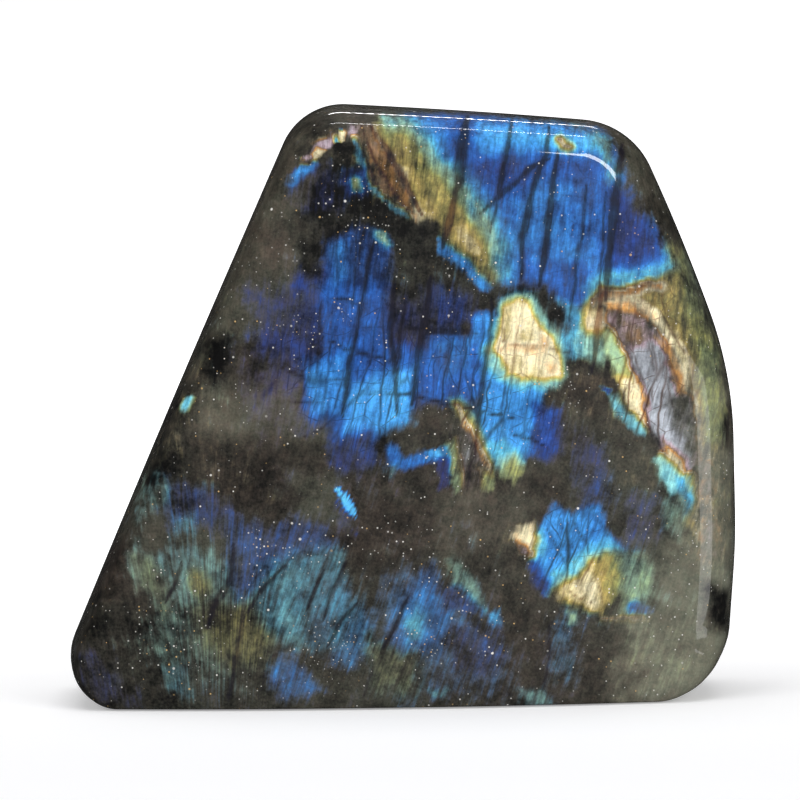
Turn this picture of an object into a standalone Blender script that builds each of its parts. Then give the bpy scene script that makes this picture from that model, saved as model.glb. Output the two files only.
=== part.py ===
"""A free-form block of labradorite, sawn flat underneath and ground and polished all over.

Metres, +Z up. The broad face that shows the colour looks towards -Y. The origin is under the middle of the
block, on the surface that it stands on. The block is one stone, so it is one object.
"""

import math

import bpy
import numpy as np

MM = 0.001

# The silhouette seen from the front: corners as x, z and the radius that rounds them, in mm, anticlockwise
# from the lower left. The corners with a radius of 300 or more are the slight swell of the long sides.
SILHOUETTE = (
    (-59.2, 0.0, 8.0),
    (53.4, 0.0, 12.5),
    (55.4, 25.7, 110.0),
    (55.0, 53.2, 64.0),
    (47.4, 74.5, 320.0),
    (38.5, 94.6, 13.5),
    (11.5, 97.1, 1100.0),
    (-15.9, 98.7, 10.8),
    (-39.5, 46.1, 2500.0),
)

# How far the rounding of the edges reaches in from the silhouette, in mm, and how square their section is,
# by the way that the silhouette faces: its outward direction in degrees, 0 to the right and 90 up. A
# squareness of 2 is an ellipse.
FACING = (-90.0, -70.0, -30.0, 0.0, 25.0, 86.0, 120.0, 157.0, 190.0, 240.0, 270.0)
EDGE_REACH = (2.2, 2.8, 5.6, 6.6, 6.4, 5.6, 4.8, 3.8, 3.6, 2.8, 2.2)
EDGE_SQUARENESS = (9.0, 5.0, 2.6, 2.4, 2.4, 2.3, 2.4, 2.6, 2.8, 5.0, 9.0)

# The front and the back: how far each stands from the silhouette's plane at the foot, in mm, how much it
# leans in for each mm of height, how it bows across, from which x, and how far it crowns at half height.
FRONT = {"foot": 18.6, "lean": 0.066, "bow": 0.0014, "bow_centre": -12.0, "crown": 1.0}
BACK = {"foot": 17.4, "lean": 0.050, "bow": 0.0011, "bow_centre": 4.0, "crown": 1.4}
HALF_HEIGHT = 50.0
HAND_WAVE = 0.08  # mm: the unevenness that hand polishing leaves

COLUMNS = 128  # points round the silhouette
EDGE_ROWS = 7  # rings from the silhouette to each face
FACE_ROWS = 7  # rings from there to the face's middle
FACE_MIDDLE = (3.0, 48.0)  # x and z in mm of the point that each face's rings close on
CORNER_SHARE = 14.0  # mm of straight side that one radian of turning counts for, when points are spaced
SEAT_SNAP = 0.06  # mm: what lies this close to the sawn base is in it

STONE_COLOUR = (0.055, 0.06, 0.05, 1.0)


def rounded_outline(corners, fineness=0.25):
    """Points along a polygon whose corners are arcs, about fineness apart, and the way each faces."""
    places = np.array([corner[:2] for corner in corners])
    points, facings = [], []
    for i, (x, z, radius) in enumerate(corners):
        here = np.array((x, z))
        back = places[i - 1] - here
        ahead = places[(i + 1) % len(corners)] - here
        back, ahead = back / np.linalg.norm(back), ahead / np.linalg.norm(ahead)
        half = math.acos(np.clip(back @ ahead, -1.0, 1.0)) / 2
        centre = here + (back + ahead) / np.linalg.norm(back + ahead) * radius / math.sin(half)
        first = math.atan2(back[0], -back[1])
        turn = math.pi - 2 * half
        steps = max(2, math.ceil(turn * radius / fineness))
        angles = first + turn * np.linspace(0, 1, steps)
        points.append(centre + radius * np.stack((np.cos(angles), np.sin(angles)), axis=1))
        facings.append(angles)
    return np.concatenate(points), np.unwrap(np.concatenate(facings))


def spaced(points, facings, count):
    """That outline again with count points, closer together where it turns."""
    ring = np.vstack((points, points[:1]))
    turned = np.append(facings, facings[0] + 2 * math.pi)
    pace = np.hypot(*np.diff(ring, axis=0).T) + CORNER_SHARE * np.diff(turned)
    along = np.concatenate(((0.0,), np.cumsum(pace)))
    wanted = np.linspace(0, along[-1], count, endpoint=False)
    columns = np.stack([np.interp(wanted, along, ring[:, i]) for i in (0, 1)], axis=1)
    return columns, np.interp(wanted, along, turned)


def by_facing(values, facings):
    """A value of the edge's section, by the way that the silhouette faces."""
    degrees = (np.degrees(facings) + 90) % 360 - 90
    return np.interp(degrees, FACING, values)


def hand_wave(x, z):
    """Long, shallow waves: three sines at odd angles."""
    return HAND_WAVE * (
        np.sin(0.13 * x + 0.06 * z) + np.sin(0.12 * z - 0.07 * x + 2.0) + np.sin(0.11 * x - 0.15 * z + 4.0)
    )


def face_depth(x, z, foot, lean, bow, bow_centre, crown):
    """How far a face stands from the silhouette's plane: a leaning plane, bowed across and crowned up."""
    upright = 1 - ((z - HALF_HEIGHT) / HALF_HEIGHT) ** 2
    return foot - lean * z - bow * (x - bow_centre) ** 2 + crown * upright + hand_wave(x, z)


def front_depth(x, z):
    return -face_depth(x, z, **FRONT)


def back_depth(x, z):
    return face_depth(x, z, **BACK)


def rings_of(columns, facings, depth_of):
    """Rings from the silhouette over the rounded edge to near the middle of one face: rows of x, y, z in mm.

    On the edge a ring is the silhouette moved inwards by reach * (1 - cos^(2/n)), and it stands at
    sin^(2/n) of the face's depth. On the face a ring shrinks evenly towards the face's middle.
    """
    outwards = np.stack((np.cos(facings), np.sin(facings)), axis=1)
    reach = by_facing(EDGE_REACH, facings)[:, None]
    power = 2 / by_facing(EDGE_SQUARENESS, facings)[:, None]
    rings = []
    for climb in np.linspace(0, math.pi / 2, EDGE_ROWS + 1)[1:]:
        sideways = max(math.cos(climb), 0.0) ** power
        flat = columns - outwards * reach * (1 - sideways)
        share = math.sin(climb) ** power[:, 0]
        rings.append(np.stack((flat[:, 0], depth_of(*flat.T) * share, flat[:, 1]), axis=1))
    rim = rings[-1][:, (0, 2)]
    for share in np.linspace(0, 1, FACE_ROWS + 1)[1:-1]:
        flat = rim + (np.array(FACE_MIDDLE) - rim) * share
        rings.append(np.stack((flat[:, 0], depth_of(*flat.T), flat[:, 1]), axis=1))
    return rings


def middle_of(depth_of):
    x, z = FACE_MIDDLE
    return np.array((x, depth_of(x, z), z))


def block_points():
    """Every point of the block in metres, from the front's middle over the silhouette to the back's."""
    columns, facings = spaced(*rounded_outline(SILHOUETTE), COLUMNS)
    front, back = (rings_of(columns, facings, depth_of) for depth_of in (front_depth, back_depth))
    silhouette = np.stack((columns[:, 0], np.zeros(COLUMNS), columns[:, 1]), axis=1)
    rings = [*front[::-1], silhouette, *back]
    points = np.concatenate([middle_of(front_depth)[None], *rings, middle_of(back_depth)[None]])
    points[points[:, 2] < SEAT_SNAP, 2] = 0.0
    centre = (points.min(axis=0) + points.max(axis=0)) / 2
    centre[2] = 0.0
    return (points - centre) * MM, len(rings)


def block_faces(ring_count):
    """Quads between neighbouring rings, and a fan of triangles at the middle of each face."""
    last = 1 + ring_count * COLUMNS
    faces = []
    for column in range(COLUMNS):
        following = (column + 1) % COLUMNS
        faces.append((0, 1 + column, 1 + following))
        faces.append((last, last - COLUMNS + following, last - COLUMNS + column))
        for ring in range(ring_count - 1):
            near, far = 1 + ring * COLUMNS, 1 + (ring + 1) * COLUMNS
            faces.append((near + column, far + column, far + following, near + following))
    return faces


def polished_stone_material():
    material = bpy.data.materials.new("polished_labradorite")
    material.use_nodes = True
    surface = material.node_tree.nodes["Principled BSDF"]
    surface.inputs["Base Color"].default_value = STONE_COLOUR
    surface.inputs["Roughness"].default_value = 0.12
    surface.inputs["Metallic"].default_value = 0.0
    return material


def make_block(collection):
    points, ring_count = block_points()
    mesh = bpy.data.meshes.new("labradorite_block")
    mesh.from_pydata(points.tolist(), [], block_faces(ring_count))
    mesh.validate()
    mesh.shade_smooth()
    mesh.materials.append(polished_stone_material())
    block = bpy.data.objects.new("labradorite_block", mesh)
    collection.objects.link(block)
    return block


def main():
    for old in list(bpy.data.objects):
        bpy.data.objects.remove(old)
    collection = bpy.data.collections.new("labradorite_freeform")
    bpy.context.scene.collection.children.link(collection)
    make_block(collection)


main()
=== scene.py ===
"""The finish of a free-form block of labradorite, polished all over, with a sawn base.

The stone's surface is worked out again, finer, from the same measures as its solid, and takes the solid's
place. What lies in the stone is painted on it as named zones: where it flashes, in which colour, and where it
is dark.
"""

import math

import bpy
import numpy as np
from mathutils import Matrix, Vector


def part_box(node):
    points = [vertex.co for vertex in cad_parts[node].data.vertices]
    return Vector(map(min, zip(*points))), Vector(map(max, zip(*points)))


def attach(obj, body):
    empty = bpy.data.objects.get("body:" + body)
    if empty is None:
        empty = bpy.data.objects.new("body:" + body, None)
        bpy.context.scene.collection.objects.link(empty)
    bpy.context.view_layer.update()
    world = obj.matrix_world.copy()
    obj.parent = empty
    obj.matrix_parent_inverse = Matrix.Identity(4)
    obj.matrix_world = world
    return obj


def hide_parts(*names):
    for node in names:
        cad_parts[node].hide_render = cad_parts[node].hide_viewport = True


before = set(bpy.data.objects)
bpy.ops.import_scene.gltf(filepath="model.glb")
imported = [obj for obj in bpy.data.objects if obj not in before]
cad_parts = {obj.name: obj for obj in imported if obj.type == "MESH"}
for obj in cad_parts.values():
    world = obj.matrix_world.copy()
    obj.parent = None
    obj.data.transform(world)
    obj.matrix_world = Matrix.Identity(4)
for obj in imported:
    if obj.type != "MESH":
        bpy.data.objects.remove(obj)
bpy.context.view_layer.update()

MM = 0.001

# The silhouette from the front: corners as x, z and the radius that rounds them, in mm, anticlockwise from
# the lower left. The corners with a radius of 300 or more are the slight swell of the long sides.
SILHOUETTE = (
    (-59.2, 0.0, 8.0),
    (53.4, 0.0, 12.5),
    (55.4, 25.7, 110.0),
    (55.0, 53.2, 64.0),
    (47.4, 74.5, 320.0),
    (38.5, 94.6, 13.5),
    (11.5, 97.1, 1100.0),
    (-15.9, 98.7, 10.8),
    (-39.5, 46.1, 2500.0),
)
LOWER_LEFT, LOWER_RIGHT, UPPER_RIGHT, UPPER_LEFT = 0, 1, 5, 7  # the corners between the four sides

# How far the rounding of the edges reaches in, in mm, and how square it is, by the way that the silhouette
# faces: its outward direction in degrees, 0 to the right and 90 up. A squareness of 2 is an ellipse.
FACING = (-90.0, -70.0, -30.0, 0.0, 25.0, 86.0, 120.0, 157.0, 190.0, 240.0, 270.0)
EDGE_REACH = (2.2, 2.8, 5.6, 6.6, 6.4, 5.6, 4.8, 3.8, 3.6, 2.8, 2.2)
EDGE_SQUARENESS = (9.0, 5.0, 2.6, 2.4, 2.4, 2.3, 2.4, 2.6, 2.8, 5.0, 9.0)

# The front and the back: how far each stands from the silhouette's plane at the foot, in mm, how much it
# leans in for each mm of height, how it bows across, from which x, and how far it crowns at half height.
FRONT = {"foot": 18.6, "lean": 0.066, "bow": 0.0014, "bow_centre": -12.0, "crown": 1.0}
BACK = {"foot": 17.4, "lean": 0.050, "bow": 0.0011, "bow_centre": 4.0, "crown": 1.4}
HALF_HEIGHT = 50.0
HAND_WAVE = 0.08  # mm: the unevenness that hand polishing leaves
SEAT_SNAP = 0.06  # mm: what lies this close to the sawn base is in it

ACROSS, UP = 400, 180  # cells of the front's grid, finer across because what lies in the stone runs upright
EDGE_ROWS = 8  # rows of cells from the silhouette to each face
COARSER = 4  # the back's cells to one of the front's
BACK_INSET = 1.2  # mm between the back's rim and its coarser grid
CORNER_SHARE = 14.0  # mm of straight side that one radian of turning counts for

# The camera, and the frame that the zones below are written in: pixels of the picture that it takes.
ELEVATION = 5.0  # degrees
ROLL = 0.6  # degrees
DISTANCE = 0.9  # m from the aim
AIM = (0.0, 0.0, 0.05)  # m
PX_PER_M = 6036.0  # at the aim
AIM_PX = (401.3, 395.1)  # where the aim falls, from the picture's upper left
FRAME_PX = 800


def rounded_outline(corners, fineness=0.1):
    """The silhouette's points, the way each faces, and where along them each corner's middle is.

    At a corner with the half angle h the arc of radius r has its centre r / sin(h) along the bisector, and it
    turns by pi - 2h.
    """
    places = np.array([corner[:2] for corner in corners])
    points, facings, middles = [], [], []
    for i, (x, z, radius) in enumerate(corners):
        here = np.array((x, z))
        back = places[i - 1] - here
        ahead = places[(i + 1) % len(corners)] - here
        back, ahead = back / np.linalg.norm(back), ahead / np.linalg.norm(ahead)
        half = math.acos(np.clip(back @ ahead, -1.0, 1.0)) / 2
        centre = here + (back + ahead) / np.linalg.norm(back + ahead) * radius / math.sin(half)
        turn = math.pi - 2 * half
        steps = max(3, math.ceil(turn * radius / fineness))
        angles = math.atan2(back[0], -back[1]) + turn * np.linspace(0, 1, steps)
        middles.append(sum(map(len, points)) + steps // 2)
        points.append(centre + radius * np.stack((np.cos(angles), np.sin(angles)), axis=1))
        facings.append(angles)
    return np.concatenate(points), np.unwrap(np.concatenate(facings)), middles


def perimeter():
    """The silhouette in 2 * (ACROSS + UP) points, its four sides evenly divided, and the way each faces.

    A side is divided by its length plus CORNER_SHARE times its turning, so that points gather where it turns.
    """
    points, facings, middles = rounded_outline(SILHOUETTE)
    start = middles[LOWER_LEFT]
    points = np.roll(points, -start, axis=0)
    facings = np.concatenate((facings[start:], facings[:start] + 2 * math.pi))
    ring = np.vstack((points, points[:1]))
    turned = np.append(facings, facings[0] + 2 * math.pi)
    pace = np.hypot(*np.diff(ring, axis=0).T) + CORNER_SHARE * np.diff(turned)
    along = np.concatenate(((0.0,), np.cumsum(pace)))
    ends = [along[middles[corner] - start] for corner in (LOWER_LEFT, LOWER_RIGHT, UPPER_RIGHT, UPPER_LEFT)]
    ends.append(along[-1])
    sides = zip(ends[:-1], ends[1:], (ACROSS, UP, ACROSS, UP))
    wanted = np.concatenate([np.linspace(low, high, cells, endpoint=False) for low, high, cells in sides])
    columns = np.stack([np.interp(wanted, along, ring[:, i]) for i in (0, 1)], axis=1)
    return columns, np.interp(wanted, along, turned)


def by_facing(values, facings):
    """A value of the edge's section, by the way that the silhouette faces."""
    degrees = (np.degrees(facings) + 90) % 360 - 90
    return np.interp(degrees, FACING, values)


def hand_wave(x, z):
    """Long, shallow waves: three sines at odd angles."""
    return HAND_WAVE * (
        np.sin(0.13 * x + 0.06 * z) + np.sin(0.12 * z - 0.07 * x + 2.0) + np.sin(0.11 * x - 0.15 * z + 4.0)
    )


def face_depth(x, z, foot, lean, bow, bow_centre, crown):
    """How far a face stands from the silhouette's plane: a leaning plane, bowed across and crowned up."""
    upright = 1 - ((z - HALF_HEIGHT) / HALF_HEIGHT) ** 2
    return foot - lean * z - bow * (x - bow_centre) ** 2 + crown * upright + hand_wave(x, z)


def front_depth(x, z):
    """The front's y in mm: its face's depth, towards the camera."""
    return -face_depth(x, z, **FRONT)


def back_depth(x, z):
    """The back's y in mm: its face's depth, away from the camera."""
    return face_depth(x, z, **BACK)


def edge_rings(columns, facings, depth_of):
    """Rings over one rounded edge, from the silhouette's first to the face's rim.

    A ring is the silhouette moved inwards by reach * (1 - cos^(2/n)), at sin^(2/n) of the face's depth.
    """
    outwards = np.stack((np.cos(facings), np.sin(facings)), axis=1)
    reach = by_facing(EDGE_REACH, facings)[:, None]
    power = 2 / by_facing(EDGE_SQUARENESS, facings)[:, None]
    rings = []
    for climb in np.linspace(0, math.pi / 2, EDGE_ROWS + 1)[1:]:
        sideways = max(math.cos(climb), 0.0) ** power
        flat = columns - outwards * reach * (1 - sideways)
        depth = depth_of(*flat.T) * math.sin(climb) ** power[:, 0]
        rings.append(np.stack((flat[:, 0], depth, flat[:, 1]), axis=1))
    return rings


def filled(rim, across, up):
    """A grid of across by up cells within a rim of 2 * (across + up) points: rows of x, z from the foot up.

    A point is the sum of what its place between the two upright sides and its place between the two level
    sides give, less what its place between the four corners gives.
    """
    closed = np.vstack((rim, rim[:1]))
    foot = closed[: across + 1]
    right = closed[across : across + up + 1]
    head = closed[across + up : 2 * across + up + 1][::-1]
    left = closed[2 * across + up :][::-1]
    s = np.linspace(0, 1, across + 1)[None, :, None]
    t = np.linspace(0, 1, up + 1)[:, None, None]
    level = (1 - t) * foot[None] + t * head[None]
    upright = (1 - s) * left[:, None] + s * right[:, None]
    corners = (1 - t) * ((1 - s) * foot[0] + s * foot[-1]) + t * ((1 - s) * head[0] + s * head[-1])
    return level + upright - corners


def rim_indices(across, up):
    """Where a grid's outermost points are in its rows, anticlockwise from the lower left."""
    index = np.arange((across + 1) * (up + 1)).reshape(up + 1, across + 1)
    return np.concatenate((index[0, :-1], index[:-1, -1], index[-1, :0:-1], index[:0:-1, 0]))


def grid_cells(across, up):
    """The quads of a grid of across by up cells, by their points' places in its rows."""
    index = np.arange((across + 1) * (up + 1)).reshape(up + 1, across + 1)
    return np.stack((index[:-1, :-1], index[:-1, 1:], index[1:, 1:], index[1:, :-1]), axis=-1).reshape(-1, 4)


def strip_cells(near, far):
    """Quads between two closed rings of as many points."""
    return np.stack((near, far, np.roll(far, -1), np.roll(near, -1)), axis=-1)


def stone_surface():
    """The stone's points in metres, its quads and its triangles.

    They are the front's grid, the rings over both rounded edges, and the back's coarser grid, which fans of
    triangles join to the last ring.
    """
    columns, facings = perimeter()
    count = len(columns)
    front_rings = edge_rings(columns, facings, front_depth)
    back_rings = edge_rings(columns, facings, back_depth)
    silhouette = np.stack((columns[:, 0], np.zeros(count), columns[:, 1]), axis=1)

    face = filled(front_rings[-1][:, (0, 2)], ACROSS, UP).reshape(-1, 2)
    front = np.stack((face[:, 0], front_depth(*face.T), face[:, 1]), axis=1)
    back_rim = back_rings[-1][:, (0, 2)]
    outwards = np.stack((np.cos(facings), np.sin(facings)), axis=1)
    inner = (back_rim - BACK_INSET * outwards)[::COARSER]
    back_across, back_up = ACROSS // COARSER, UP // COARSER
    face = filled(inner, back_across, back_up).reshape(-1, 2)
    back = np.stack((face[:, 0], back_depth(*face.T), face[:, 1]), axis=1)

    rings = [*front_rings[:-1][::-1], silhouette, *back_rings]
    points = np.concatenate((front, *rings, back))
    starts = len(front) + count * np.arange(len(rings))
    lines = [rim_indices(ACROSS, UP), *(start + np.arange(count) for start in starts)]
    quads = [grid_cells(ACROSS, UP), *(strip_cells(near, far) for near, far in zip(lines[:-1], lines[1:]))]
    first_back = len(front) + count * len(rings)
    quads.append(grid_cells(back_across, back_up)[:, ::-1] + first_back)

    fine = lines[-1].reshape(-1, COARSER)
    after = np.roll(fine[:, 0], -1)
    fine = np.column_stack((fine, after))
    coarse = rim_indices(back_across, back_up) + first_back
    coarse_after = np.roll(coarse, -1)
    half = COARSER // 2
    fans = [(fine[:, i], coarse, fine[:, i + 1]) for i in range(half)]
    fans.append((fine[:, half], coarse, coarse_after))
    fans += [(fine[:, i], coarse_after, fine[:, i + 1]) for i in range(half, COARSER)]
    triangles = np.concatenate([np.stack(fan, axis=-1) for fan in fans])
    points[points[:, 2] < SEAT_SNAP, 2] = 0.0
    return points * MM, np.concatenate(quads), triangles


def seated(points):
    """The points moved, and shrunk by less than a thousandth, into the solid's own box."""
    low, high = (np.array(corner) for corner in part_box("labradorite_block"))
    mine_low, mine_high = points.min(axis=0), points.max(axis=0)
    shrink = np.minimum(1.0, (high - low) / (mine_high - mine_low))
    centre, mine = (low + high) / 2, (mine_low + mine_high) / 2
    centre[2], mine[2] = low[2], mine_low[2]
    return centre + (points - mine) * shrink


def on_picture(points):
    """Where points fall in the camera's picture, in pixels from its upper left."""
    lift, roll = math.radians(ELEVATION), math.radians(ROLL)
    rel = points - np.array(AIM)
    nearness = DISTANCE - rel @ np.array((0, -math.cos(lift), math.sin(lift)))
    right = rel[:, 0] / nearness * DISTANCE
    up = rel @ np.array((0, math.sin(lift), math.cos(lift))) / nearness * DISTANCE
    turned_right = right * math.cos(roll) - up * math.sin(roll)
    turned_up = right * math.sin(roll) + up * math.cos(roll)
    return AIM_PX[0] + PX_PER_M * turned_right, AIM_PX[1] - PX_PER_M * turned_up


def eased(value, low, high):
    """0 below low, 1 above high and 3t^2 - 2t^3 between them."""
    t = np.clip((value - low) / (high - low), 0, 1)
    return t * t * (3 - 2 * t)


def noise(x, y, seed):
    """Smooth noise from 0 to 1: random heights at whole numbers, joined by 3t^2 - 2t^3."""
    heights = np.random.default_rng(seed).random((256, 256))
    column, row = np.floor(x).astype(int), np.floor(y).astype(int)
    across, up = eased(x - column, 0, 1), eased(y - row, 0, 1)
    corner = [[heights[(row + j) % 256, (column + i) % 256] for i in (0, 1)] for j in (0, 1)]
    lower = corner[0][0] * (1 - across) + corner[0][1] * across
    upper = corner[1][0] * (1 - across) + corner[1][1] * across
    return lower * (1 - up) + upper * up


def cloud(x, y, seed, layers=4):
    """Layers of noise, each twice as fine and half as strong as the one before, about 0 to 1."""
    total = sum(noise(x * 2**i, y * 2**i, seed + i) / 2**i for i in range(layers))
    return total / (2 - 2 ** (1 - layers))


def inside(x, y, corners):
    """How far points are inside a polygon: the distance to its nearest side, negative outside it."""
    ends = np.array(corners, float)
    nearest = np.full(x.shape, np.inf)
    within = np.zeros(x.shape, bool)
    for (ax, ay), (bx, by) in zip(ends, np.roll(ends, -1, axis=0)):
        dx, dy = bx - ax, by - ay
        along = np.clip(((x - ax) * dx + (y - ay) * dy) / (dx * dx + dy * dy), 0, 1)
        nearest = np.minimum(nearest, np.hypot(x - ax - along * dx, y - ay - along * dy))
        if ay != by:
            within ^= ((ay > y) != (by > y)) & (x < dx * (y - ay) / dy + ax)
    return np.where(within, nearest, -nearest)


def beside(x, y, line):
    """How far points are from a line drawn through several places, and how far along it, from 0 to 1."""
    ends = np.array(line, float)
    steps = np.hypot(*np.diff(ends, axis=0).T)
    nearest, share = np.full(x.shape, np.inf), np.zeros(x.shape)
    for (ax, ay), (bx, by), before, step in zip(ends[:-1], ends[1:], np.cumsum(steps) - steps, steps):
        dx, dy = bx - ax, by - ay
        along = np.clip(((x - ax) * dx + (y - ay) * dy) / (dx * dx + dy * dy), 0, 1)
        away = np.hypot(x - ax - along * dx, y - ay - along * dy)
        closer = away < nearest
        nearest = np.where(closer, away, nearest)
        share = np.where(closer, (before + along * step) / steps.sum(), share)
    return nearest, share


# Places in the order in which the stone's colours follow each other as its layers grow thicker.
INDIGO, ROYAL, BLUE, AZURE, CYAN, AQUA, SEA, OLIVE, GOLD, CREAM, COPPER, MAUVE, ROSE, SILVER = (
    0.0, 0.12, 0.24, 0.35, 0.44, 0.51, 0.58, 0.66, 0.74, 0.80, 0.87, 0.915, 0.955, 1.0,
)

# Where the stone flashes: what it is, strength, place in the colours' order, softness and raggedness of the
# edge in px, corners in px. Later zones lie over earlier ones.

# The blue that fills the upper right.
UPPER_BLUE = (
    ("blue under the top edge", 0.75, 0.2, 7, 5, (
        (405, 112), (470, 108), (600, 124), (640, 165), (662, 235), (668, 268), (640, 285), (600, 296),
        (570, 312), (545, 285), (505, 282), (470, 240), (430, 170)
    )),
    ("its paler upper part", 0.8, 0.27, 9, 8, ((412, 118), (450, 118), (445, 150), (470, 215), (440, 195))),
    ("azure below the top edge", 0.92, 0.37, 8, 4, (
        (476, 124), (545, 126), (600, 138), (612, 158), (540, 150), (480, 152)
    )),
    ("brown loop under the corner", 0.5, 0.84, 3, 1, (
        (552, 135), (562, 134), (573, 141), (577, 151), (570, 154), (559, 147)
    )),
    ("green streaks at the upper right", 0.38, 0.62, 6, 6, (
        (636, 186), (650, 186), (662, 214), (650, 222), (638, 205)
    )),
    ("dark blue below that", 0.62, 0.13, 8, 8, (
        (465, 160), (540, 162), (530, 180), (500, 196), (470, 215)
    )),
    ("lighter blue in the middle", 0.73, 0.27, 9, 8, (
        (505, 200), (545, 182), (600, 180), (600, 270), (540, 262), (510, 240)
    )),
    ("dark blue at the right", 0.66, 0.12, 9, 8, (
        (618, 190), (648, 205), (660, 250), (640, 262), (612, 262)
    )),
    ("teal at the upper right corner", 0.5, 0.5, 6, 8, (
        (575, 122), (615, 140), (625, 180), (612, 182), (600, 150)
    )),
    ("dark corner", 0.06, 0.5, 8, 8, (
        (618, 140), (650, 160), (675, 220), (668, 245), (645, 215), (628, 185)
    )),
    ("streaks right of the eye", 0.62, 0.4, 6, 6, (
        (556, 300), (575, 306), (592, 316), (590, 352), (572, 362), (556, 345)
    )),
    ("cyan under the blue", 0.73, 0.42, 6, 4, (
        (580, 288), (594, 274), (612, 268), (640, 266), (674, 262), (677, 272), (640, 279), (606, 284),
        (588, 304)
    )),
)

# The fan of gold, green and silver blades at the right.
RIGHT_BLADES = (
    ("olive fibres at the right", 0.44, 0.66, 9, 8, (
        (670, 245), (684, 240), (705, 300), (722, 352), (724, 410), (700, 400), (684, 320)
    )),
    ("pale patch in the fibres", 0.36, 0.6, 7, 5, ((676, 284), (684, 290), (694, 314), (686, 312))),
    ("grey green at the right", 0.5, 0.62, 9, 6, (
        (690, 350), (722, 345), (728, 400), (726, 450), (700, 450), (692, 400)
    )),
    ("gold arc", 0.5, 0.72, 6, 3, (
        (582, 312), (588, 298), (604, 286), (635, 281), (662, 280), (676, 272), (684, 300), (690, 352),
        (678, 352), (662, 322), (640, 302), (606, 300), (596, 316)
    )),
    ("brown of the arc", 0.46, 0.865, 4, 3, (
        (590, 302), (604, 289), (635, 285), (662, 283), (668, 291), (636, 296), (607, 298), (594, 308)
    )),
    ("orange plate under the arc", 1.0, 0.86, 5, 2, (
        (604, 302), (632, 300), (640, 318), (618, 315), (608, 312)
    )),
    ("cream plate beside it", 0.88, 0.8, 4, 2, ((634, 298), (655, 312), (662, 324), (644, 320))),
    ("cream under the fibres", 0.74, 0.8, 7, 4, (
        (660, 325), (672, 325), (692, 357), (688, 398), (678, 400), (670, 350)
    )),
    ("mauve ring", 0.55, 0.92, 5, 2, (
        (604, 314), (620, 310), (640, 320), (662, 340), (650, 345), (615, 330), (606, 326)
    )),
    ("cream column", 0.9, 0.775, 5, 3, ((585, 312), (604, 312), (607, 328), (597, 338), (585, 330))),
    ("pale green below it", 0.85, 0.52, 7, 5, ((578, 330), (598, 336), (606, 345), (600, 362), (580, 358))),
    ("pale green blade", 1.2, 0.6, 5, 3, (
        (602, 332), (616, 335), (626, 352), (632, 378), (640, 396), (628, 400), (616, 380), (608, 358)
    )),
    ("silver core", 0.8, 1.03, 8, 3, (
        (615, 320), (625, 315), (640, 322), (657, 338), (671, 362), (680, 400), (676, 418), (656, 424),
        (646, 405), (634, 378), (626, 348)
    )),
    ("grey brown top of the core", 0.6, 0.905, 7, 4, (
        (614, 320), (625, 314), (642, 322), (652, 336), (645, 348), (626, 346)
    )),
    ("rose beside the core", 0.7, 0.87, 4, 2, (
        (657, 336), (664, 340), (678, 366), (686, 400), (680, 402), (670, 368)
    )),
    ("rainbow flame", 1.0, 0.79, 5, 2, (
        (616, 378), (630, 376), (642, 392), (650, 408), (650, 424), (636, 420), (622, 402)
    )),
    ("rose edge of the flame", 0.85, 0.88, 3, 1.5, (
        (630, 368), (638, 376), (650, 402), (652, 420), (646, 404), (634, 382)
    )),
    ("cyan edge of the flame", 0.78, 0.46, 4, 3, (
        (604, 390), (612, 396), (622, 408), (648, 430), (644, 438), (624, 424), (608, 402)
    )),
    ("pale grey right of the blades", 0.38, 1.03, 9, 6, (
        (664, 398), (688, 400), (700, 440), (698, 476), (686, 480), (672, 430)
    )),
    ("white blade", 1.0, 1.03, 7, 3, (
        (646, 408), (668, 414), (678, 438), (690, 468), (680, 478), (662, 450), (652, 430)
    )),
    ("cream of the blade", 0.7, 0.81, 6, 3, (
        (662, 436), (670, 442), (683, 462), (685, 478), (674, 480), (665, 456)
    )),
    ("cyan and white blade", 0.92, 0.5, 4, 3, (
        (652, 462), (662, 456), (678, 476), (682, 492), (670, 497), (657, 474)
    )),
    ("azure blade", 0.8, 0.35, 4, 2, ((677, 478), (691, 476), (692, 500), (686, 520), (681, 495))),
    ("teal under the blades", 0.42, 0.54, 8, 4, (
        (662, 498), (686, 502), (688, 530), (682, 545), (664, 536)
    )),
    ("olive beside it", 0.46, 0.68, 6, 3, ((688, 522), (704, 516), (704, 538), (692, 542))),
    ("blue dots at the right", 0.62, 0.14, 3, 2, ((706, 498), (717, 500), (717, 510), (708, 508))),
    ("lower blue dot", 0.75, 0.2, 2, 2, ((704, 515), (717, 515), (717, 520), (705, 520))),
)

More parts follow.
